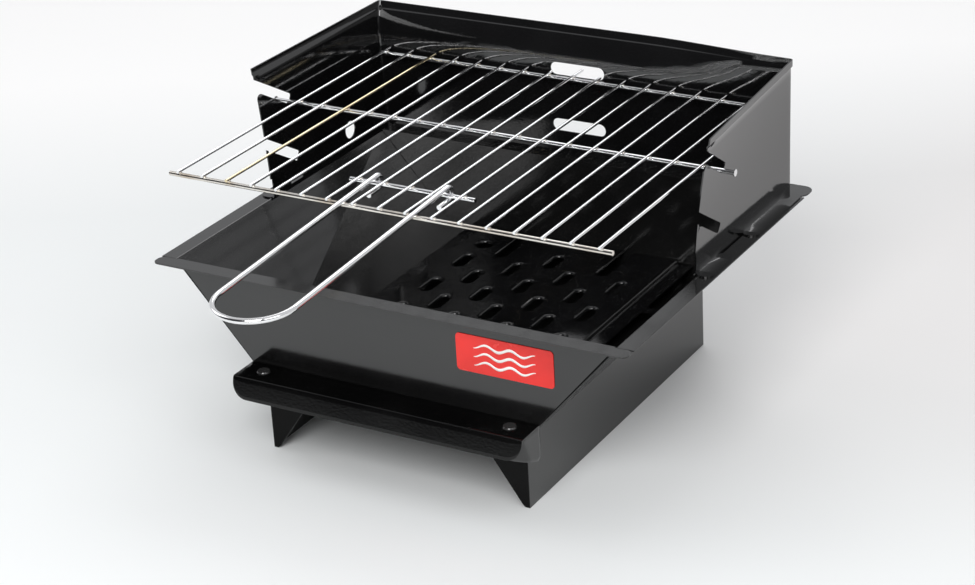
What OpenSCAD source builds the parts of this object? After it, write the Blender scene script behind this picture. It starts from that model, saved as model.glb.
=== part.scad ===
// Folding camp grill: a tabletop charcoal grill in painted sheet steel, with a lift-off
// windshield, a slotted charcoal tray and a chromed wire grid with a hooked wire handle.
// Frame: +X to the right of a person in front of the grill, +Y to the rear, +Z up.
// The origin lies on the floor, in the middle of the whole object's footprint.

/* [Sheet and wire] */
// Thickness of the sheet steel
sheet = 1; // [0.8:0.1:1.2]
// Diameter of the long cooking rods
rod_d = 2.3; // [2:0.1:3]
// Diameter of the rails that the rods are welded to
rail_d = 3.5; // [3:0.1:4]
// Diameter of the handle's wire
handle_d = 4; // [3.5:0.1:4.5]

/* [Firebox] */
// Height of the rim above the floor
rim_z = 138; // [130:1:150]
// Height of the firebox's floor, where the legs begin
base_z = 54; // [48:1:60]
// Outer width between the side walls at the rim
rim_w = 358; // [340:1:370]
// Outer width between the legs
base_w = 214; // [200:1:230]
// Outer depth of the firebox, front to rear
body_d = 280; // [270:1:290]
// Width of the flat flange along the front and the sides of the rim
flange_w = 12; // [10:1:14]
// Width of the wider flange along the rear, which carries the windshield's rear panel
rear_flange_w = 20.5; // [16:0.5:22]
// Width of each foot's brace at the firebox floor
foot_brace_w = 39; // [30:1:44]
// Width of each foot's brace at the ground
foot_tip_w = 6; // [4:1:10]

/* [Carrying shelf] */
// Length of the shelf
shelf_w = 236; // [220:1:240]
// Depth of the shelf
shelf_depth = 22; // [18:1:26]
// Height of the shelf's top
shelf_z = 68; // [64:1:72]
// Gap between the shelf and the firebox wall
shelf_gap = 3.7; // [3:0.1:5]
// Height of the shelf's folded lip
lip_h = 15.5; // [12:0.5:18]
// Height of the shelf's end cheeks, at their inner edges
cheek_h = 26.5; // [20:0.5:28]
// Distance between the shelf's two rivets
rivet_span = 202; // [180:1:210]
// Diameter of a rivet's flat head
rivet_head_d = 10; // [8:0.5:11]

/* [Charcoal tray] */
// Height of the tray's slotted bottom
tray_z = 69; // [67:1:72]
// Drop from the slotted bottom to the ledges at its sides
tray_step = 3; // [2:0.5:5]
// Overall width of the tray, without its tab
tray_w = 199; // [190:1:208]
// Width of each side ledge
ledge_w = 12.5; // [8:0.5:14]
// Distance between neighbouring columns of slots
slot_pitch_x = 22.3; // [20:0.1:23]
// Distance between neighbouring rows of slots
slot_pitch_y = 24.5; // [22:0.1:26]
// Length of one air slot
slot_l = 24; // [18:1:28]
// Width of one air slot
slot_w = 8.5; // [5:0.5:9]
// Width of each open slot for lifting the tray
lift_slot_w = 9; // [8:0.5:10]

/* [Windshield] */
// Height of the windshield's top above the floor
shield_top = 241.5; // [235:0.5:250]
// Outer width between the wings
shield_w = 354; // [350:1:356]
// Distance from the firebox's middle back to the rear panel's inner face
shield_back = 147; // [146:0.5:149]
// Distance from the firebox's middle forward to the wings' front edges
shield_front = 19; // [15:1:25]
// Height between the two grid positions
level_step = 46; // [42:1:48]
// Width of a notch for the grid's middle rail
notch_w = 8; // [7:0.5:9]
// Slope of the notches below the horizontal
notch_tilt = 31; // [28:1:35]
// Length of the two slots in the rear panel
back_slot_l = 46; // [40:1:50]
// Height of the two slots in the rear panel
back_slot_h = 10; // [9.5:0.1:11]
// Diameter of the round hole in the left wing
wing_hole_d = 14; // [10:1:16]

/* [Grid] */
// Number of cooking rods
rod_count = 17; // [17:2:17]
// Distance between neighbouring rods
rod_pitch = 21; // [20:0.1:21.2]
// Height of the rails' centre lines above the floor
rail_z = 204; // [203:0.5:205]
// Distance from the firebox's middle forward to the front rail
front_rail_y = 137.5; // [130:0.5:140]
// Distance from the firebox's middle back to the middle rail
mid_rail_y = 17; // [15:0.5:19]
// Distance from the firebox's middle back to the rear rail
rear_rail_y = 140; // [136:0.5:140]
// Distance from the firebox's middle forward to the short cross rail
cross_rail_y = 96.4; // [90:0.1:100]
// Length of the short cross rail
cross_rail_l = 101; // [95:1:110]
// Length of the middle rail
mid_rail_l = 384; // [380:1:390]
// Length of the front rail
front_rail_l = 353; // [350:1:360]

/* [Grid handle] */
// Distance between the handle's two legs
handle_w = 57; // [54:0.5:58]
// Length of the straight legs, from the cross rail to the round end
handle_l = 187; // [170:1:200]
// Slope of the handle below the horizontal
handle_droop = 2.8; // [2.5:0.1:3.2]
// Length of the stub below the cross rail
hook_stub_l = 12; // [8:1:14]

/* [Badge] */
// Width of the badge
badge_w = 75.5; // [60:0.5:80]
// Height of the badge
badge_h = 28; // [20:0.5:30]
// Distance from the firebox's middle to the badge's middle
badge_x = 93; // [80:1:95]
// Height of the badge's middle
badge_z = 111.5; // [100:0.5:112]

/* [Hidden] */
$fn = 48;
eps = 0.01;
fit_gap = 0.05;
overshoot = 20;

rim_half = rim_w / 2;
base_half = base_w / 2;
half_d = body_d / 2;
wall_rise = rim_z - base_z;
wall_run = rim_half - base_half;
wall_skin = sheet * sqrt(1 + pow(wall_run / wall_rise, 2));
panel_bottom = base_z - 4;
front_flange_end_r = 5;
rear_flange_end_r = 8;
flange_slit = 0.15;
flange_half = rim_half + flange_w;

function wall_half(z) = base_half + (z - base_z) * wall_run / wall_rise;

shelf_in = half_d + shelf_gap;
shelf_out = shelf_in + shelf_depth;
bracket_w = 18;
bracket_in = 13;
bracket_depth = 14;
bracket_h = 16;
lip_corner_r = 12;
cheek_corner_r = 4;
rivet_y = half_d + 11.6;
rivet_shank_r = 2.4;
rivet_head_h = 1.2;

tray_half = tray_w / 2;
tray_half_d = half_d - sheet - 1;
tray_in_half = tray_half - ledge_w;
ledge_z = tray_z - tray_step;
foot_y = 112;
foot_w = 14;
pull_tab_y = 54;
pull_tab_w = 8;
pull_tab_end = 113;
row_reach = 3;
collar_w = 1.2;
collar_h = 1.2;
lift_slot_y = 90;
vent_r = 6.5;
vent_y = 106;

shield_half = shield_w / 2;
shield_z0 = rim_z + fit_gap;
shield_bend_r = 3;
tab_w = 12;
front_tab_l = 42;
rear_tab_l = 84;
rear_tab_y = 58;
tab_r = 6;
notch_l = 70;
notch_corner_r = 1.5;
notch_lip_r = 4;
wing_hole_y = 92;
wing_hole_z = 154.6;
window_y = 6;
window_l = 17;
window_z0 = 3;
window_h = 5;
lower_edge_setback = 2;

rod_z = rail_z + (rail_d + rod_d) / 2;
rod_front = front_rail_y + rail_d / 2 + 0.8;
rod_rear = rear_rail_y + rail_d / 2 + 2.7;
long_rod_rear = shield_back + sheet + 7.5;
long_rod = 9;
rear_rail_l = rod_pitch * (rod_count - 1) + 10;
rail_head_r = 2.6;
rail_head_l = 0.8;
back_slot_z = rod_z - rod_d / 2 - 2 + back_slot_h / 2;

leg_rise = rail_d / 2 + handle_d / 2 + fit_gap;
front_to_cross = front_rail_y - cross_rail_y;
hook_top = leg_rise / cos(handle_droop) + front_to_cross * tan(handle_droop);
hook_low = rail_d / 2 + fit_gap + handle_d / 2;
hook_r = (hook_top * cos(handle_droop) + hook_low) / 2;

handle_front = cross_rail_y + handle_l * cos(handle_droop) + handle_w / 2 + handle_d / 2;
body_y = (handle_front - half_d - rear_flange_w) / 2;

// ---- shared shapes ----

// Moves a shape drawn about the firebox's middle to its place in the object's frame.
module placed() {
    translate([0, body_y, 0]) children();
}

// Flat rectangle from the lowest to the highest corner, with rounded corners.
module rounded_rect(low, high, r) {
    translate([low[0] + r, low[1]]) square([high[0] - low[0] - 2 * r, high[1] - low[1]]);
    translate([low[0], low[1] + r]) square([high[0] - low[0], high[1] - low[1] - 2 * r]);
    for (x = [low[0] + r, high[0] - r], y = [low[1] + r, high[1] - r]) {
        translate([x, y]) circle(r);
    }
}

// Flat slot with round ends, centred, its length along the second axis.
module obround(l, w) {
    square([w, l - w], center = true);
    for (y = [-1, 1]) translate([0, y * (l - w) / 2]) circle(d = w);
}

// Draws a flat outline in the X-Z plane and gives it a thickness towards +Y.
module upright(thickness) {
    translate([0, thickness, 0]) rotate([90, 0, 0]) linear_extrude(thickness) children();
}

// Draws a flat outline in the Y-Z plane and gives it a thickness towards +X.
module sideways(thickness) {
    rotate([90, 0, 90]) linear_extrude(thickness) children();
}

// Round bar along X, centred.
module bar_x(l, d) {
    rotate([0, 90, 0]) cylinder(d = d, h = l, center = true);
}

// Round bar along Y, between two places.
module bar_y(y0, y1, d) {
    translate([0, y0, 0]) rotate([-90, 0, 0]) cylinder(d = d, h = y1 - y0);
}

// ---- firebox ----

// Front wall: a trapezoid that fits between the sloping sides, with the rim's flange.
module end_panel(flange, end_r) {
    top_half = wall_half(rim_z - sheet) - wall_skin;
    low_half = wall_half(base_z) - sheet;
    translate([0, -half_d, 0]) {
        upright(sheet) polygon([
            [-low_half, panel_bottom], [low_half, panel_bottom], [low_half, base_z],
            [top_half, rim_z - sheet], [-top_half, rim_z - sheet], [-low_half, base_z]]);
        translate([0, 0, rim_z - sheet]) linear_extrude(sheet)
            rounded_rect([-flange_half, -flange], [flange_half, -flange_slit], end_r);
        translate([-top_half, -flange_slit - eps, rim_z - sheet])
            cube([2 * top_half, flange_slit + eps + sheet, sheet]);
    }
}

module front_panel() {
    color("dimgray") end_panel(flange_w, front_flange_end_r);
}

module rear_panel() {
    color("dimgray") rotate([0, 0, 180]) end_panel(rear_flange_w, rear_flange_end_r);
}

// Right side as one bent sheet: rim flange, sloping wall, leg, and a brace on each foot.
module side_sheet() {
    span = body_d - 2 * flange_slit;
    translate([0, span / 2, 0]) rotate([90, 0, 0]) linear_extrude(span) polygon([
        [base_half, 0], [base_half, base_z], [rim_half, rim_z - sheet],
        [rim_half + flange_w, rim_z - sheet], [rim_half + flange_w, rim_z],
        [rim_half - wall_skin + sheet * 0.5, rim_z],
        [base_half - sheet, base_z], [base_half - sheet, 0]]);
    for (side = [0, 180]) foot_brace(side);
}

// Triangular brace folded inwards from a leg's front or rear edge.
module foot_brace(side) {
    mirror([0, side == 180 ? 1 : 0, 0])
        translate([0, -half_d + flange_slit, 0]) upright(sheet) polygon([
            [base_half - eps, 0], [base_half - foot_tip_w + 2, 0], [base_half - foot_tip_w, 2],
            [base_half - foot_brace_w, panel_bottom - 1], [base_half - eps, panel_bottom - 1]]);
}

module left_side() {
    color("dimgray") mirror([1, 0, 0]) side_sheet();
}

module right_side() {
    color("dimgray") side_sheet();
}

// Ash floor between the two sides, with a lip turned down at the front and the rear.
module firebox_floor() {
    half_w = base_half - sheet;
    depth = body_d - 2 * sheet;
    color("dimgray") {
        translate([-half_w, -depth / 2, base_z - sheet]) cube([2 * half_w, depth, sheet]);
        for (y = [-depth / 2, depth / 2 - sheet]) {
            translate([-half_w + 2, y, panel_bottom + 0.5]) cube([2 * half_w - 4, sheet, 3]);
        }
    }
}

// ---- carrying shelf ----

// Shelf in front of the wall: a plate with a lip folded down and a cheek at each end.
module front_shelf() {
    low_cheek = shelf_z - cheek_h;
    low_lip = shelf_z - lip_h;
    half_w = shelf_w / 2;
    color("black") {
        difference() {
            translate([-half_w, -shelf_out, shelf_z - sheet]) cube([shelf_w, shelf_depth, sheet]);
            shelf_rivet_holes();
        }
        translate([0, -shelf_out, 0]) upright(sheet) intersection() {
            rounded_rect([-half_w, low_lip], [half_w, low_lip + shelf_w], lip_corner_r);
            translate([-half_w, low_lip]) square([shelf_w, lip_h]);
        }
        for (x = [-half_w, half_w - sheet]) translate([x, 0, 0]) shelf_cheek(low_lip, low_cheek);
    }
}

// End cheek, taller towards the wall, whose front edge meets the lip above its round corner.
module shelf_cheek(low_lip, low_cheek) {
    inner = shelf_in - 3;
    sideways(sheet) {
        polygon([
            [-shelf_out, low_lip + lip_corner_r], [-shelf_out, shelf_z], [-inner, shelf_z],
            [-inner, low_cheek + cheek_corner_r], [-inner - cheek_corner_r, low_cheek],
            [-inner - cheek_corner_r - 3, low_cheek]]);
        translate([-inner - cheek_corner_r, low_cheek + cheek_corner_r]) circle(cheek_corner_r);
    }
}

module shelf_rivet_holes() {
    for (x = [-1, 1]) {
        translate([x * rivet_span / 2, -rivet_y, shelf_z - overshoot])
            cylinder(r = rivet_shank_r, h = 2 * overshoot);
    }
}

// Angle brackets that hold the shelf off the wall.
module front_shelf_brackets() {
    color("black") difference() {
        for (side = [0, 1]) mirror([side, 0, 0]) translate([rivet_span / 2 - bracket_in, 0, 0]) {
            translate([0, -half_d - bracket_depth - shelf_gap, shelf_z - 2 * sheet])
                cube([bracket_w, bracket_depth + shelf_gap, sheet]);
            translate([0, -half_d - sheet, shelf_z - sheet - bracket_h])
                cube([bracket_w, sheet, bracket_h]);
        }
        shelf_rivet_holes();
    }
}

// Flat-headed rivets with a smaller closed head below.
module front_shelf_rivets() {
    color("dimgray") for (x = [-1, 1]) translate([x * rivet_span / 2, -rivet_y, 0]) {
        translate([0, 0, shelf_z]) cylinder(r1 = rivet_head_d / 2, r2 = rivet_head_d / 2 - 0.6, h = rivet_head_h);
        translate([0, 0, shelf_z - 2 * sheet]) cylinder(r = rivet_shank_r, h = 2 * sheet);
        translate([0, 0, shelf_z - 2 * sheet - rivet_head_h]) cylinder(r = 3.8, h = rivet_head_h);
    }
}

// Plain enamelled badge on the front wall.
module badge() {
    color("red") translate([0, -half_d - 0.6, 0]) upright(0.6) rounded_rect(
        [badge_x - badge_w / 2, badge_z - badge_h / 2],
        [badge_x + badge_w / 2, badge_z + badge_h / 2], 3);
}

// ---- charcoal tray ----

// True where a column and a row of the staggered pattern meet in an air slot.
function has_slot(column, row) =
    (abs(column) + abs(row)) % 2 == 0 && abs(row) <= row_reach
    || column == 0 && abs(row) == row_reach + 1;

// Pressed pan: a slotted bottom, lower side ledges on short feet, and a tab on the right.
module charcoal_tray() {
    color("black") difference() {
        union() {
            tray_sheet();
            for (x = [0, 1], y = [-1, 1]) mirror([x, 0, 0]) tray_foot(y * foot_y);
            translate([tray_half - eps, pull_tab_y - pull_tab_w / 2, ledge_z - sheet])
                cube([pull_tab_end - tray_half + eps, pull_tab_w, sheet]);
            translate([0, 0, tray_z - sheet - collar_h]) linear_extrude(collar_h + eps) tray_collars();
        }
        translate([0, 0, tray_z - overshoot]) linear_extrude(2 * overshoot) {
            tray_openings(0);
            lift_slots(0);
        }
    }
}

module tray_sheet() {
    translate([0, tray_half_d, 0]) rotate([90, 0, 0]) linear_extrude(2 * tray_half_d) {
        translate([-tray_in_half, tray_z - sheet]) square([2 * tray_in_half, sheet]);
        for (side = [0, 1]) mirror([side, 0]) {
            translate([tray_in_half - sheet, ledge_z - sheet]) square([sheet, tray_step + sheet]);
            translate([tray_in_half - sheet, ledge_z - sheet]) square([ledge_w + sheet, sheet]);
        }
    }
}

// Foot turned down from the ledge's outer edge to the firebox floor.
module tray_foot(y) {
    translate([tray_half - sheet, y - foot_w / 2, base_z + fit_gap])
        cube([sheet, foot_w, ledge_z - base_z - fit_gap - eps]);
}

// Edges of the openings, turned down round them, cut off at the tray's front and rear.
module tray_collars() {
    intersection() {
        union() {
            tray_openings(collar_w);
            lift_slots(collar_w);
        }
        square([2 * tray_in_half, 2 * tray_half_d], center = true);
    }
}

// Air slots and the round vent, each grown by a margin.
module tray_openings(grow) {
    for (column = [-3 : 3], row = [-4 : 4]) if (has_slot(column, row)) {
        translate([column * slot_pitch_x, row * slot_pitch_y])
            obround(slot_l + 2 * grow, slot_w + 2 * grow);
    }
    translate([-3 * slot_pitch_x, vent_y]) circle(vent_r + grow);
}

// Slots that run out through the tray's front and rear edges, grown by a margin.
module lift_slots(grow) {
    reach = tray_half_d + overshoot - lift_slot_y;
    for (x = [-2, 2], y = [-1, 1]) {
        translate([x * slot_pitch_x, y * (lift_slot_y + reach / 2)])
            obround(reach + 2 * grow, lift_slot_w + 2 * grow);
    }
}

// ---- windshield ----

// One folded sheet: rear panel, two wings, and tabs that stand on the rim.
module windshield() {
    color("dimgray") difference() {
        union() {
            shield_walls();
            for (side = [0, 1]) mirror([side, 0, 0]) shield_tabs();
        }
        for (level = [0, 1]) {
            rail_notch(level);
            notch_lip_round(level);
            back_slot(level);
        }
        lower_front_setback();
        translate([-shield_half - eps, wing_hole_y, wing_hole_z])
            rotate([0, 90, 0]) cylinder(d = wing_hole_d, h = 2 * sheet + 2 * eps);
        translate([-shield_half - eps, window_y, shield_z0 + window_z0])
            cube([sheet + 2 * eps, window_l, window_h]);
    }
}

// Wings and rear panel with a tight bend at each rear corner.
module shield_walls() {
    translate([0, 0, shield_z0]) linear_extrude(shield_top - shield_z0) difference() {
        shield_outline(0);
        shield_outline(sheet);
        translate([-shield_half, -3 * shield_front])
            square([shield_w, 2 * shield_front]);
    }
}

// Filled outline of the windshield seen from above, moved inwards by an inset.
module shield_outline(inset) {
    rounded_rect(
        [-shield_half + inset, -shield_front - 2 * shield_bend_r],
        [shield_half - inset, shield_back + sheet - inset], shield_bend_r - inset);
}

// Tabs along the foot of the right wing, turned outwards onto the rim.
module shield_tabs() {
    root = shield_half - sheet;
    translate([0, 0, shield_z0]) linear_extrude(sheet) {
        rounded_rect([root, -shield_front], [shield_half + tab_w, -shield_front + front_tab_l], tab_r);
        rounded_rect([root, rear_tab_y], [shield_half + tab_w, rear_tab_y + rear_tab_l], tab_r);
        translate([root, -shield_front]) square([sheet, rear_tab_y + rear_tab_l + shield_front]);
    }
}

// Sloping open notches in both wings, parallel to the way the grid slides out.
module rail_notch(level) {
    half_rail = rail_d / 2 + fit_gap;
    translate([0, mid_rail_y, rail_z - level * level_step]) rotate([-notch_tilt, 0, 0])
        sideways_both() rounded_rect(
            [-notch_l, -half_rail], [half_rail, notch_w - half_rail], notch_corner_r);
}

// Rounds the pointed lip below a notch, where the notch meets the wings' front edges.
module notch_lip_round(level) {
    edge = shield_front - level * lower_edge_setback;
    drop = (rail_d / 2 + fit_gap) / cos(notch_tilt) - (edge + mid_rail_y) * tan(notch_tilt);
    half_angle = (90 - notch_tilt) / 2;
    along = notch_lip_r / tan(half_angle);
    across = notch_lip_r / sin(half_angle);
    lean = 90 - half_angle;
    translate([0, -edge, rail_z - level * level_step - drop]) sideways_both() difference() {
        polygon([
            [-eps, eps], [-eps, -along], [across * cos(lean), -across * sin(lean)],
            [along * cos(notch_tilt), -along * sin(notch_tilt) + eps]]);
        translate([across * cos(lean), -across * sin(lean)]) circle(notch_lip_r);
    }
}

// Draws a flat outline in the Y-Z plane right through both wings.
module sideways_both() {
    translate([-shield_half - overshoot, 0, 0]) sideways(shield_w + 2 * overshoot) children();
}

// Slot in the rear panel that the grid's long middle rod reaches through.
module back_slot(level) {
    translate([0, shield_back - overshoot, back_slot_z - level * level_step])
        upright(2 * overshoot) rotate(90) obround(back_slot_l, back_slot_h);
}

// The wings' front edges stand back a little below the lower notch.
module lower_front_setback() {
    top = rail_z - level_step - 4;
    translate([-shield_half - eps, -shield_front - eps, shield_z0 + sheet])
        cube([shield_w + 2 * eps, lower_edge_setback, top - shield_z0 - sheet]);
}

// ---- grid ----

// One cooking rod; the middle one is longer and reaches through the windshield.
module grid_rod(i) {
    rear = i == long_rod ? long_rod_rear : rod_rear;
    color("silver") translate([(i - long_rod) * rod_pitch, 0, rod_z]) bar_y(-rod_front, rear, rod_d);
}

module grid_front_rail() {
    color("silver") translate([0, -front_rail_y, rail_z]) bar_x(front_rail_l, rail_d);
}

// Middle rail, longer than the grid is wide, with a peened head at each end.
module grid_mid_rail() {
    color("silver") translate([0, mid_rail_y, rail_z]) {
        bar_x(mid_rail_l, rail_d);
        for (x = [-1, 1]) translate([x * (mid_rail_l - rail_head_l) / 2, 0, 0])
            bar_x(rail_head_l, 2 * rail_head_r);
    }
}

module grid_rear_rail() {
    color("silver") translate([0, rear_rail_y, rail_z]) bar_x(rear_rail_l, rail_d);
}

module grid_cross_rail() {
    color("silver") translate([0, -cross_rail_y, rail_z]) bar_x(cross_rail_l, rail_d);
}

// Handle bent from one wire: a round end, two legs, and a hook round the cross rail on each.
module grid_handle() {
    color("silver") translate([0, -cross_rail_y, rail_z]) rotate([handle_droop, 0, 0])
        translate([0, 0, hook_top * cos(handle_droop)]) {
            for (x = [-1, 1]) translate([x * handle_w / 2, 0, 0]) handle_leg();
            translate([0, -handle_l, 0]) rotate([0, 0, 180]) rotate_extrude(angle = 180)
                translate([handle_w / 2, 0]) circle(d = handle_d);
        }
}

// One leg with its hook, drawn flat and then turned upright: straight, round the back of the
// cross rail, and forwards again.
module handle_leg() {
    rotate([0, 90, 0]) {
        bar_y(-handle_l, 0, handle_d);
        translate([hook_r, 0, 0]) rotate_extrude(angle = 180)
            translate([hook_r, 0]) circle(d = handle_d);
        translate([2 * hook_r, 0, 0]) bar_y(-hook_stub_l, 0, handle_d);
    }
}

placed() front_panel();
placed() rear_panel();
placed() left_side();
placed() right_side();
placed() firebox_floor();
placed() front_shelf();
placed() front_shelf_brackets();
placed() front_shelf_rivets();
placed() badge();
placed() charcoal_tray();
placed() windshield();
placed() grid_front_rail();
placed() grid_mid_rail();
placed() grid_rear_rail();
placed() grid_cross_rail();
placed() grid_handle();
for (i = [1 : rod_count]) {
    placed() grid_rod(i);
}
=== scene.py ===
"""Looks of the folding camp grill: camera, light, finishes and small pressed detail round its CAD frame."""

import math
import random

import bmesh
import bpy
from mathutils import Matrix, Vector


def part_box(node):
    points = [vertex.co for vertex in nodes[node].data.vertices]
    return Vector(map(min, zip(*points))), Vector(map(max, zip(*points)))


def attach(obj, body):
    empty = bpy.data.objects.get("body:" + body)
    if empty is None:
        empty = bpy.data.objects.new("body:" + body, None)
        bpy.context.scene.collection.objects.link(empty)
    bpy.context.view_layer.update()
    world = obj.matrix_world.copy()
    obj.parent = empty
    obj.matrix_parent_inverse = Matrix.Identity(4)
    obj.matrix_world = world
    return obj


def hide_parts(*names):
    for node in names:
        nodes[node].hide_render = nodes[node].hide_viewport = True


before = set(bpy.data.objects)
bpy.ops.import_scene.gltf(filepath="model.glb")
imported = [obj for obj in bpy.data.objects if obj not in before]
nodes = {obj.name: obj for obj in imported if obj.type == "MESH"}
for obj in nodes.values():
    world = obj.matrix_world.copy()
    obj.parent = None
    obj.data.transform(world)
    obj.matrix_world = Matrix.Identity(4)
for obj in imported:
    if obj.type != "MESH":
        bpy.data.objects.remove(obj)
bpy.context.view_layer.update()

MM = 0.001
MERGE_DISTANCE = 0.001 * MM
random.seed(7)

# ---- camera ----

CAMERA_PLACE = Vector((0.835, -1.3062, 0.8325))
CAMERA_RIGHT = Vector((0.86621, 0.49711, -0.05071))
CAMERA_UP = Vector((-0.1695, 0.38777, 0.90604))
SENSOR_MM = 36
LENS_MM = 88.7


def add_camera():
    data = bpy.data.cameras.new("camera")
    data.sensor_width = SENSOR_MM
    data.lens = LENS_MM
    camera = bpy.data.objects.new("camera", data)
    bpy.context.scene.collection.objects.link(camera)
    right = CAMERA_RIGHT.normalized()
    back = right.cross(CAMERA_UP).normalized()
    up = back.cross(right)
    turn = Matrix((right, up, back)).transposed()
    camera.matrix_world = Matrix.Translation(CAMERA_PLACE) @ turn.to_4x4()
    bpy.context.scene.camera = camera


# ---- small sums ----


def clamp(value, low=0.0, high=1.0):
    return max(low, min(high, value))


def eased(value, start, end):
    """Rises smoothly from 0 at start to 1 at end."""
    t = clamp((value - start) / (end - start))
    return t * t * (3 - 2 * t)


def steps(start, end, count):
    """Evenly spaced values, both ends included."""
    return [start + (end - start) * i / count for i in range(count + 1)]


# ---- materials ----

# A colour Mix node's sockets share their names with its other types, so they are picked by number.
MIX_FACTOR = 0
MIX_FIRST = 6
MIX_SECOND = 7
MIX_RESULT = 2


class Shader:
    """A new material with its Principled node, and short ways to add the nodes that feed it."""

    def __init__(self, name):
        self.material = bpy.data.materials.new(name)
        self.material.use_nodes = True
        self.tree = self.material.node_tree
        self.main = self.tree.nodes["Principled BSDF"]
        self.place = self.tree.nodes.new("ShaderNodeTexCoord").outputs["Object"]

    def link(self, output, target):
        self.tree.links.new(output, target)

    def feed(self, socket, value):
        if isinstance(value, bpy.types.NodeSocket):
            self.link(value, socket)
        else:
            socket.default_value = value

    def put(self, **values):
        for name, value in values.items():
            self.main.inputs[name.replace("_", " ")].default_value = value

    def noise(self, scale, detail=3, distortion=0):
        node = self.tree.nodes.new("ShaderNodeTexNoise")
        node.inputs["Scale"].default_value = scale
        node.inputs["Detail"].default_value = detail
        node.inputs["Distortion"].default_value = distortion
        self.link(self.place, node.inputs["Vector"])
        return node.outputs["Fac"]

    def cells(self, scale):
        """Distance to the nearest of scattered points."""
        node = self.tree.nodes.new("ShaderNodeTexVoronoi")
        node.inputs["Scale"].default_value = scale
        self.link(self.place, node.inputs["Vector"])
        return node.outputs["Distance"]

    def remap(self, value, from_low, from_high, to_low, to_high):
        node = self.tree.nodes.new("ShaderNodeMapRange")
        node.inputs["From Min"].default_value = from_low
        node.inputs["From Max"].default_value = from_high
        node.inputs["To Min"].default_value = to_low
        node.inputs["To Max"].default_value = to_high
        self.link(value, node.inputs["Value"])
        return node.outputs["Result"]

    def times(self, first, second):
        node = self.tree.nodes.new("ShaderNodeMath")
        node.operation = "MULTIPLY"
        self.feed(node.inputs[0], first)
        self.feed(node.inputs[1], second)
        return node.outputs["Value"]

    def mix(self, factor, low, high):
        """Blend of two colours, each a colour or another node's output."""
        node = self.tree.nodes.new("ShaderNodeMix")
        node.data_type = "RGBA"
        self.feed(node.inputs[MIX_FACTOR], factor)
        self.feed(node.inputs[MIX_FIRST], low)
        self.feed(node.inputs[MIX_SECOND], high)
        return node.outputs[MIX_RESULT]

    def bump(self, height, distance, below=None):
        node = self.tree.nodes.new("ShaderNodeBump")
        node.inputs["Distance"].default_value = distance
        self.link(height, node.inputs["Height"])
        if below is not None:
            self.link(below, node.inputs["Normal"])
        return node.outputs["Normal"]

    def along(self, *direction):
        """How far a point lies in a direction, in metres."""
        node = self.tree.nodes.new("ShaderNodeVectorMath")
        node.operation = "DOT_PRODUCT"
        self.link(self.place, node.inputs[0])
        node.inputs[1].default_value = direction
        return node.outputs["Value"]


def enamel(name, colour, roughness, ior=1.7, wave=0.00025, peel=0.00002, dust=0.02):
    """Baked enamel on sheet steel: uneven gloss, orange peel, a slow wave in the sheet and specks of dust."""
    s = Shader(name)
    base = (*colour, 1)
    dusty = (*(c * 1.6 + 0.002 for c in colour), 1)
    cloud = s.remap(s.noise(9, 5, distortion=0.4), 0.35, 0.7, 0, 1)
    worn = s.mix(cloud, base, dusty)
    speck = s.times(s.remap(s.cells(260), 0.07, 0.04, 0, 1), s.remap(s.noise(30), 0.55, 0.68, 0, 1))
    s.link(s.mix(speck, worn, (*(c + dust for c in colour), 1)), s.main.inputs["Base Color"])
    gloss = s.remap(s.noise(24, 4), 0.3, 0.7, roughness * 0.85, roughness * 1.2)
    s.link(gloss, s.main.inputs["Roughness"])
    slow = s.bump(s.noise(7, 1), wave)
    s.link(s.bump(s.noise(520, 2), peel, below=slow), s.main.inputs["Normal"])
    s.put(IOR=ior)
    return s.material


def chrome(name, tint=(0.86, 0.86, 0.87), stain=(0.55, 0.47, 0.36), stained=0.2, roughness=0.1):
    """Bright chrome plate on drawn wire, with stains and a fine grain."""
    s = Shader(name)
    patch = s.remap(s.noise(34, 5), 0.62 - 0.3 * stained, 0.8 - 0.2 * stained, 0, stained)
    s.link(s.mix(patch, (*tint, 1), (*stain, 1)), s.main.inputs["Base Color"])
    s.put(Metallic=1)
    gloss = s.remap(s.noise(90, 4), 0.3, 0.7, roughness * 0.6, roughness * 1.6)
    s.link(gloss, s.main.inputs["Roughness"])
    s.link(s.bump(s.noise(900, 2), 0.00001), s.main.inputs["Normal"])
    return s.material


def floor_paper():
    """Pale paper, a little greyer to the right of the object as its painted shadow, and lighter far behind it
    as painted light.
    """
    s = Shader("floor_paper")
    soft = s.remap(s.noise(1.4, 3), 0.3, 0.7, 0, 0.3)
    # Painted shadow: greyer to the right of and behind the object, where its shadow falls.
    shade_to_right = s.remap(s.along(1, 0, 0), -0.1, 0.2, 0, 1)
    shade_to_back = s.remap(s.along(0, 1, 0), -0.1, 0.3, 0, 1)
    right = s.times(shade_to_right, shade_to_back)
    # Painted light: lighter far behind the object.
    far = s.remap(s.along(-0.5, 0.85, 0), 0.45, 0.8, 0, 1)
    pale_and_shaded = s.mix(right, (0.86, 0.88, 0.88, 1), (0.78, 0.765, 0.76, 1))
    near = s.mix(soft, pale_and_shaded, (0.84, 0.84, 0.84, 1))
    s.link(s.mix(far, near, (0.99, 0.985, 0.98, 1)), s.main.inputs["Base Color"])
    s.put(Roughness=0.8, IOR=1.2)
    return s.material


# ---- stage and light ----

SKY = (0.97, 0.98, 1.0, 1)
SKY_STRENGTH = 0.66
UNLIT_ROOM = (0.07, 0.07, 0.075, 1)
# The Y and Z of a unit direction at which the unlit room starts, and at which it is complete.
UNLIT_RANGES = (("Y", -0.1, -0.45), ("Z", 1.1, 0.75))
FLOOR_REACH = 14
FLOOR_GAP = 0.2 * MM


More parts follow.
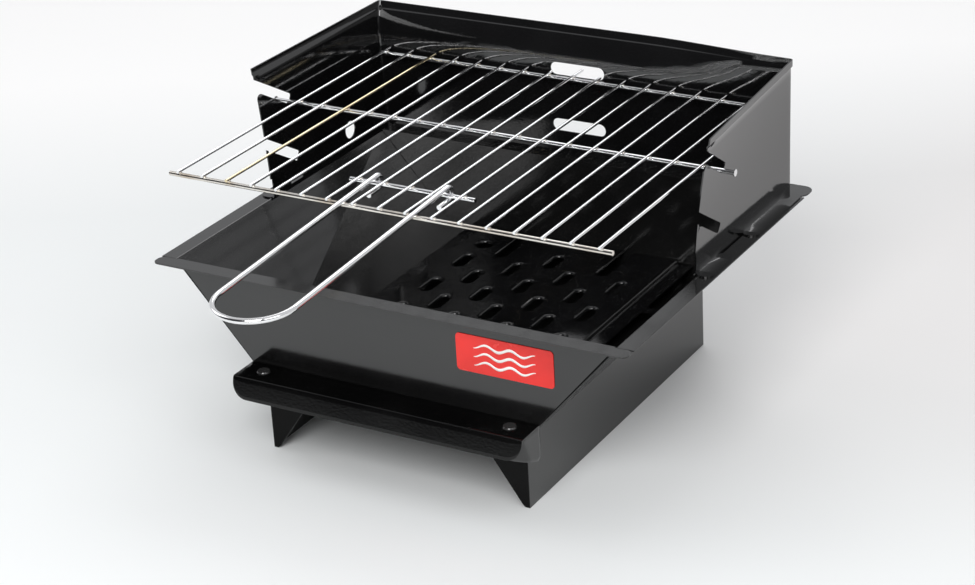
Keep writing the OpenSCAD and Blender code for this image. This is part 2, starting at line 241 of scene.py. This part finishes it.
def add_floor():
    mesh = bpy.data.meshes.new("floor")
    reach = FLOOR_REACH
    corners = [(-reach, -reach, 0), (reach, -reach, 0), (reach, reach, 0), (-reach, reach, 0)]
    mesh.from_pydata(corners, [], [(0, 1, 2, 3)])
    floor = bpy.data.objects.new("floor", mesh)
    bpy.context.scene.collection.objects.link(floor)
    floor.location.z = -FLOOR_GAP
    mesh.materials.append(floor_paper())


def add_area_light(name, place, aim, size, power):
    data = bpy.data.lights.new(name, "AREA")
    data.shape = "RECTANGLE"
    data.size, data.size_y = size
    data.energy = power
    light = bpy.data.objects.new(name, data)
    bpy.context.scene.collection.objects.link(light)
    light.location = place
    light.rotation_mode = "QUATERNION"
    light.rotation_quaternion = (Vector(aim) - Vector(place)).to_track_quat("-Z", "Y")


def add_world():
    """Bright studio, with an unlit room in front of the grill that fades out towards straight overhead."""
    world = bpy.data.worlds.new("studio")
    bpy.context.scene.world = world
    world.use_nodes = True
    tree = world.node_tree
    background = tree.nodes["Background"]
    background.inputs["Strength"].default_value = SKY_STRENGTH
    parts = tree.nodes.new("ShaderNodeSeparateXYZ")
    tree.links.new(tree.nodes.new("ShaderNodeTexCoord").outputs["Generated"], parts.inputs["Vector"])
    masks = []
    for axis, start, end in UNLIT_RANGES:
        ramp = tree.nodes.new("ShaderNodeMapRange")
        ramp.interpolation_type = "SMOOTHSTEP"
        ramp.inputs["From Min"].default_value = start
        ramp.inputs["From Max"].default_value = end
        tree.links.new(parts.outputs[axis], ramp.inputs["Value"])
        masks.append(ramp.outputs["Result"])
    both = tree.nodes.new("ShaderNodeMath")
    both.operation = "MULTIPLY"
    tree.links.new(masks[0], both.inputs[0])
    tree.links.new(masks[1], both.inputs[1])
    mix = tree.nodes.new("ShaderNodeMix")
    mix.data_type = "RGBA"
    tree.links.new(both.outputs["Value"], mix.inputs[MIX_FACTOR])
    mix.inputs[MIX_FIRST].default_value = SKY
    mix.inputs[MIX_SECOND].default_value = UNLIT_ROOM
    tree.links.new(mix.outputs[MIX_RESULT], background.inputs["Color"])


def add_stage():
    bpy.context.scene.view_settings.view_transform = "Standard"
    add_floor()
    add_world()
    add_area_light("front_box", (0.7, -2.2, 1.9), (0, 0, 0.1), (1.4, 1.4), 60)
    add_area_light("left_box", (-2.1, -0.3, 1.6), (0, 0, 0.1), (1.6, 1.6), 8)
    add_area_light("right_box", (1.9, -1.0, 1.7), (0, 0, 0.1), (1.5, 1.5), 12)
    add_area_light("back_box", (-0.6, 2.2, 2.2), (-0.4, 1.2, 0), (2.0, 1.2), 17)


# ---- building pieces ----

FLAT_ANGLE = math.radians(0.5)
EDGE_ANGLE = math.radians(40)
CUT_TOLERANCE = 1e-6
SOLID_BEHIND = -1


def add_piece(name, mesh, body, material, smooth_angle=30):
    """New object of one mesh, smooth up to an angle, that rides on a body."""
    data = bpy.data.meshes.new(name)
    mesh.to_mesh(data)
    mesh.free()
    data.materials.append(material)
    data.shade_smooth()
    data.set_sharp_from_angle(angle=math.radians(smooth_angle))
    piece = bpy.data.objects.new(name, data)
    bpy.context.scene.collection.objects.link(piece)
    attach(piece, body)
    return piece


def soften(piece, width, segments=1):
    """Breaks a piece's sharp edges, as paint and bending do."""
    bevel = piece.modifiers.new("edge_break", "BEVEL")
    bevel.width = width
    bevel.segments = segments
    bevel.limit_method = "ANGLE"
    bevel.angle_limit = EDGE_ANGLE


def soften_node(name, width, segments=1):
    piece = nodes[name]
    weld = piece.modifiers.new("weld", "WELD")
    weld.merge_threshold = MERGE_DISTANCE
    soften(piece, width, segments)


def copy_of(node):
    """A CAD node's mesh as a new editable mesh of flat faces."""
    mesh = bmesh.new()
    mesh.from_mesh(nodes[node].data)
    bmesh.ops.remove_doubles(mesh, verts=mesh.verts, dist=MERGE_DISTANCE)
    bmesh.ops.dissolve_limit(mesh, angle_limit=FLAT_ANGLE, verts=mesh.verts, edges=mesh.edges)
    return mesh


def cut_across(mesh, axis, places):
    """Cuts a mesh along planes square to one axis, so that it can bend there."""
    square = Vector([1.0 if i == axis else 0.0 for i in range(3)])
    for place in places:
        geometry = mesh.verts[:] + mesh.edges[:] + mesh.faces[:]
        point = square * place
        bmesh.ops.bisect_plane(mesh, geom=geometry, dist=CUT_TOLERANCE, plane_co=point, plane_no=square)


def add_grid(mesh, rows):
    """Quads between neighbouring rows of points."""
    made = [[mesh.verts.new(point) for point in row] for row in rows]
    for near, far in zip(made, made[1:]):
        for i in range(len(near) - 1):
            mesh.faces.new((near[i], near[i + 1], far[i + 1], far[i]))


def thicken(piece, thickness):
    """Gives a surface its sheet thickness, on the side away from its normals."""
    solid = piece.modifiers.new("sheet", "SOLIDIFY")
    solid.thickness = thickness
    solid.offset = SOLID_BEHIND
    solid.use_even_offset = True


# ---- windshield ----

WING_SPLAY = {1: (12.5 * MM, 0.5 * MM), -1: (8 * MM, 6 * MM)}
SPLAY_POWER = 1.5
REAR_LEAN = 8.5 * MM
LEAN_HEIGHT = 36 * MM
STRIP_HEIGHT = 6 * MM
STRIP_BEND = 1.2 * MM
STRIP_OUT = 0.9 * MM
WALL_ZONE = 4 * MM
# The rear wall's lean fades out along the wings over this depth.
LEAN_DEPTH = 50 * MM
# And it fades out towards the right wing, from this share of the half width.
LEAN_SHARE = 0.3
# Cuts that let the sheet bend: how many each way, and how far in from its ends and its foot.
CUTS_ACROSS = 20
CUTS_ALONG = 12
CUTS_UP = 16
CUT_MARGIN = 8 * MM
CUT_RISE = 6 * MM
SHIELD_EDGE_BREAK = 0.22 * MM


def shield_point(point, low, high, wing_half):
    """Where a point of the straight windshield lies on the real one, whose walls lean out towards the top."""
    side = 1 if point.x > 0 else -1
    front, rear = WING_SPLAY[side]
    rise = clamp((point.z - low.z) / (high.z - low.z))
    forward = clamp((high.y - point.y) / (high.y - low.y))
    out = (rear + (front - rear) * forward) * rise**SPLAY_POWER
    across = clamp(abs(point.x) / wing_half)
    lean = clamp((point.z - high.z + LEAN_HEIGHT) / LEAN_HEIGHT) ** 2
    lean *= 1 - eased(point.x / wing_half, LEAN_SHARE, 1.0)
    lean *= eased(point.y, high.y - LEAN_DEPTH, high.y)
    strip = STRIP_OUT * eased(point.z, high.z - STRIP_HEIGHT, high.z - STRIP_HEIGHT + STRIP_BEND)
    on_wing = abs(point.x) > wing_half - WALL_ZONE
    on_rear = point.y > high.y - WALL_ZONE
    return Vector((
        point.x + side * (out * across + (strip if on_wing else 0)),
        point.y + REAR_LEAN * lean + (strip if on_rear else 0),
        point.z,
    ))


def add_windshield(material):
    mesh = copy_of("windshield")
    low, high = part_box("windshield")
    wing_half = max(v.co.x for v in mesh.verts if v.co.z > (low.z + high.z) / 2)
    strip_z = high.z - STRIP_HEIGHT
    cut_across(mesh, 0, steps(-wing_half + CUT_MARGIN, wing_half - CUT_MARGIN, CUTS_ACROSS))
    cut_across(mesh, 1, steps(low.y + CUT_MARGIN, high.y - CUT_MARGIN, CUTS_ALONG))
    cut_across(mesh, 2, steps(low.z + CUT_RISE, strip_z, CUTS_UP))
    cut_across(mesh, 2, steps(strip_z + STRIP_BEND / 3, strip_z + STRIP_BEND, 2))
    for vertex in mesh.verts:
        vertex.co = shield_point(vertex.co, low, high, wing_half)
    piece = add_piece("windshield_sheet", mesh, "windshield", material)
    soften(piece, SHIELD_EDGE_BREAK)
    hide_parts("windshield")


# ---- charcoal tray ----

SLOT_ROLL = 2.2 * MM
TOP_TOLERANCE = 0.01 * MM
SHARP_ANGLE = math.radians(60)


def add_tray(material):
    """The tray, with the sharp edges of its highest face rolled: round every slot and round the outside."""
    mesh = copy_of("charcoal_tray")
    top_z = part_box("charcoal_tray")[1].z
    rolled = []
    for edge in mesh.edges:
        at_top = all(abs(v.co.z - top_z) < TOP_TOLERANCE for v in edge.verts)
        if at_top and len(edge.link_faces) == 2 and edge.calc_face_angle() > SHARP_ANGLE:
            rolled.append(edge)
    bmesh.ops.bevel(mesh, geom=rolled, offset=SLOT_ROLL, segments=6, profile=0.5, affect="EDGES")
    piece = add_piece("charcoal_tray_pan", mesh, "tray", material)
    weighted = piece.modifiers.new("even_normals", "WEIGHTED_NORMAL")
    weighted.keep_sharp = True
    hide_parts("charcoal_tray")


# ---- front shelf ----

LIP_TILT = math.radians(16)
LIP_BEND_R = 2 * MM
LIP_CORNER_R = 12 * MM
LIP_HEIGHT = 15.5 * MM
SHELF_SHEET = 1 * MM
SHELF_EDGE_BREAK = 0.2 * MM
CHEEK_CORNER_TOP_R = 1.5 * MM
CHEEK_CORNER_LOW_R = 11 * MM
CHEEK_END_R = 4.5 * MM
# How far the cheeks hang below the lip, stay level at the wall, reach behind the lip, and stand back from it.
CHEEK_DROP = 2 * MM
CHEEK_LEVEL = 3 * MM
CHEEK_TUCK = 18 * MM
CHEEK_SETBACK = 1.3 * SHELF_SHEET


def shelf_columns(high):
    """Places along the shelf, with the height of the lip's lower edge there, rounded at both ends."""
    ends = []
    for turn in steps(0, math.pi / 2, 8):
        x = high.x - LIP_CORNER_R + LIP_CORNER_R * math.sin(turn)
        ends.append((x, LIP_CORNER_R * (1 - math.cos(turn))))
    middle = [(x, 0.0) for x in steps(-ends[0][0], ends[0][0], 16)[1:-1]]
    return [(-x, rise) for x, rise in reversed(ends)] + middle + ends


def lip_profile(front_y, top_z, inner_y, low_z):
    """Side view of the plate and its lip, as (y, z) from the plate's inner edge to the lip's lower edge."""
    centre_y = front_y + LIP_BEND_R
    centre_z = top_z - LIP_BEND_R
    points = [(inner_y, top_z), ((inner_y + centre_y) / 2, top_z)]
    turned = math.pi / 2 - LIP_TILT
    for turn in steps(0, turned, 5):
        points.append((centre_y - LIP_BEND_R * math.sin(turn), centre_z + LIP_BEND_R * math.cos(turn)))
    last_y, last_z = points[-1]
    for z in steps(last_z, low_z, 6)[1:]:
        points.append((last_y - (last_z - z) * math.tan(LIP_TILT), z))
    return points


def add_shelf_sheet(material, low, high, lip_low_z):
    mesh = bmesh.new()
    rows = []
    for x, rise in shelf_columns(high):
        profile = lip_profile(low.y, high.z, high.y, lip_low_z + rise)
        rows.append([(x, y, z) for y, z in profile])
    add_grid(mesh, rows)
    piece = add_piece("front_shelf_sheet", mesh, "firebox", material)
    thicken(piece, SHELF_SHEET)
    soften(piece, SHELF_EDGE_BREAK)
    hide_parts("front_shelf")


def cheek_path(side, fall, low, high):
    """Plan view of one cheek at a height: back along the end, round the corner, and behind the lip."""
    corner_r = CHEEK_CORNER_TOP_R + (CHEEK_CORNER_LOW_R - CHEEK_CORNER_TOP_R) * fall
    front_y = low.y + CHEEK_SETBACK
    corner_y = front_y + corner_r
    end_x = high.x
    path = [(end_x, y) for y in steps(high.y, corner_y, 8)]
    for turn in steps(0, math.pi / 2, 7)[1:]:
        path.append((end_x - corner_r * (1 - math.cos(turn)), corner_y - corner_r * math.sin(turn)))
    path += [(x, front_y) for x in steps(path[-1][0], high.x - CHEEK_TUCK, 3)[1:]]
    return [(side * x, y) for x, y in path]


def cheek_low_z(y, low, high, lip_low_z):
    """Height of a cheek's lower edge, which falls towards the wall and rounds off at its inner end."""
    inner_y = high.y - CHEEK_LEVEL
    slope = clamp((y - low.y) / (inner_y - low.y))
    z = lip_low_z - CHEEK_DROP + (low.z - lip_low_z + CHEEK_DROP) * slope
    past = clamp((y - (high.y - CHEEK_END_R)) / CHEEK_END_R)
    return z + CHEEK_END_R * (1 - math.sqrt(1 - past * past))


def add_shelf_cheeks(material, low, high, lip_low_z):
    mesh = bmesh.new()
    top_z = high.z - SHELF_SHEET
    for side in (-1, 1):
        rows = []
        for fall in steps(0, 1, 8):
            row = []
            for x, y in cheek_path(side, fall, low, high):
                low_z = cheek_low_z(y, low, high, lip_low_z)
                row.append((x, y, top_z - (top_z - low_z) * fall))
            rows.append(row)
        add_grid(mesh, rows if side > 0 else rows[::-1])
    piece = add_piece("front_shelf_cheeks", mesh, "firebox", material)
    thicken(piece, SHELF_SHEET)
    soften(piece, SHELF_EDGE_BREAK)


def add_shelf(lip_paint, cheek_paint):
    low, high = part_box("front_shelf")
    lip_low_z = high.z - LIP_HEIGHT
    add_shelf_sheet(lip_paint, low, high, lip_low_z)
    add_shelf_cheeks(cheek_paint, low, high, lip_low_z)


# ---- grid welds ----

NUB_SIZE = (2.0 * MM, 1.7 * MM, 0.9 * MM)
NUB_RISE = 0.1 * MM
NUB_SPREAD = (0.85, 1.15)


def add_nub(mesh, place):
    """Small uneven bead of weld metal."""
    turn = Matrix.Rotation(random.uniform(0, math.tau), 4, "Z")
    shape = Matrix.Diagonal((*(s * random.uniform(*NUB_SPREAD) for s in NUB_SIZE), 1))
    matrix = Matrix.Translation(place) @ turn @ shape
    bmesh.ops.create_icosphere(mesh, subdivisions=2, radius=1, matrix=matrix)


def add_welds(material):
    mesh = bmesh.new()
    rods = [name for name in nodes if name.startswith("grid_rod_")]
    for rail in ("grid_front_rail", "grid_mid_rail", "grid_rear_rail", "grid_cross_rail"):
        rail_low, rail_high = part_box(rail)
        rail_y = (rail_low.y + rail_high.y) / 2
        for rod in rods:
            rod_low, rod_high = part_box(rod)
            rod_x = (rod_low.x + rod_high.x) / 2
            if rail_low.x < rod_x < rail_high.x:
                add_nub(mesh, Vector((rod_x, rail_y, rod_low.z + NUB_RISE)))
    add_piece("grid_welds", mesh, "grid", material, smooth_angle=60)


# ---- badge ----

WAVE_REACH = 24 * MM
WAVE_SPACING = 6.5 * MM
WAVE_HEIGHT = 1.7 * MM
WAVE_HALF_WIDTH = 1.1 * MM
WAVES_ACROSS = 2.5
WAVE_END = 0.02
MOTIF_GAP = 0.05 * MM
MOTIF_THICKNESS = 0.2 * MM


def add_badge_motif(material):
    """Three white heat waves on the plain red badge."""
    low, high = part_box("badge")
    centre_x = (low.x + high.x) / 2
    centre_z = (low.z + high.z) / 2
    front_y = low.y - MOTIF_GAP
    mesh = bmesh.new()
    for row in (-1, 0, 1):
        upper, lower = [], []
        for t in steps(-1, 1, 40):
            half = WAVE_HALF_WIDTH * math.sqrt(max(WAVE_END, 1 - t * t))
            z = centre_z + row * WAVE_SPACING + WAVE_HEIGHT * math.sin(t * WAVES_ACROSS * math.pi)
            x = centre_x + WAVE_REACH * t
            upper.append((x, front_y, z + half))
            lower.append((x, front_y, z - half))
        add_grid(mesh, [lower, upper])
    piece = add_piece("badge_motif", mesh, "firebox", material)
    thicken(piece, MOTIF_THICKNESS)


# ---- finishes of the CAD nodes ----

FRAME_EDGE_BREAK = 0.25 * MM
RIVET_EDGE_BREAK = 0.3 * MM
SQUARE_ON = 0.99


def paint(material, *names):
    for name in names:
        data = nodes[name].data
        data.materials.clear()
        data.materials.append(material)


def paint_brace_shade(material, *names):
    """Gives faces square to the Y axis, the foot braces and the sheet's ends, a darker and less glossy copy
    of the body enamel: painted shade for the shadow under the shelf.
    """
    for name in names:
        data = nodes[name].data
        data.materials.append(material)
        for face in data.polygons:
            if abs(face.normal.y) > SQUARE_ON:
                face.material_index = 1


def paint_frame():
    body = enamel("body_enamel", (0.005, 0.005, 0.005), 0.13)
    # A darker, less glossy copy of the body enamel: painted shade on the foot braces, which sit in the shadow
    # under the shelf.
    brace_shade = enamel("brace_painted_shade", (0.002, 0.002, 0.002), 0.2, ior=1.2, dust=0)
    shelf = enamel("shelf_enamel", (0.001, 0.001, 0.001), 0.1, ior=1.38)
    shield = enamel("shield_enamel", (0.003, 0.003, 0.0032), 0.07, wave=0.0001)
    tray = enamel("tray_enamel", (0.001, 0.001, 0.0012), 0.08, ior=1.55)
    rivet = enamel("rivet_paint", (0.02, 0.02, 0.02), 0.22)
    red = enamel("badge_red", (0.64, 0.02, 0.015), 0.25, ior=1.5, wave=0, peel=0.00001, dust=0.05)
    white = enamel("badge_white", (0.8, 0.78, 0.76), 0.3, ior=1.5, wave=0, peel=0.00001, dust=0)
    wire = chrome("chrome_wire")
    golden = chrome("chrome_tinted", tint=(0.84, 0.74, 0.5), stain=(0.5, 0.36, 0.2), stained=0.5)
    brown = (0.4, 0.3, 0.2)
    browned = chrome("chrome_browned", tint=(0.8, 0.77, 0.72), stain=brown, stained=0.6, roughness=0.14)
    paint(body, "front_panel", "rear_panel", "left_side", "right_side", "firebox_floor")
    paint_brace_shade(brace_shade, "left_side", "right_side")
    paint(shelf, "front_shelf_brackets")
    paint(rivet, "front_shelf_rivets")
    paint(red, "badge")
    paint(wire, *(name for name in nodes if name.startswith("grid_")))
    paint(golden, "grid_rod_3")
    paint(browned, "grid_front_rail")
    for name in ("front_panel", "rear_panel", "left_side", "right_side", "badge"):
        soften_node(name, FRAME_EDGE_BREAK)
    soften_node("front_shelf_rivets", RIVET_EDGE_BREAK, 2)
    add_windshield(shield)
    add_tray(tray)
    add_shelf(shelf, body)
    add_welds(browned)
    add_badge_motif(white)


add_camera()
add_stage()
paint_frame()
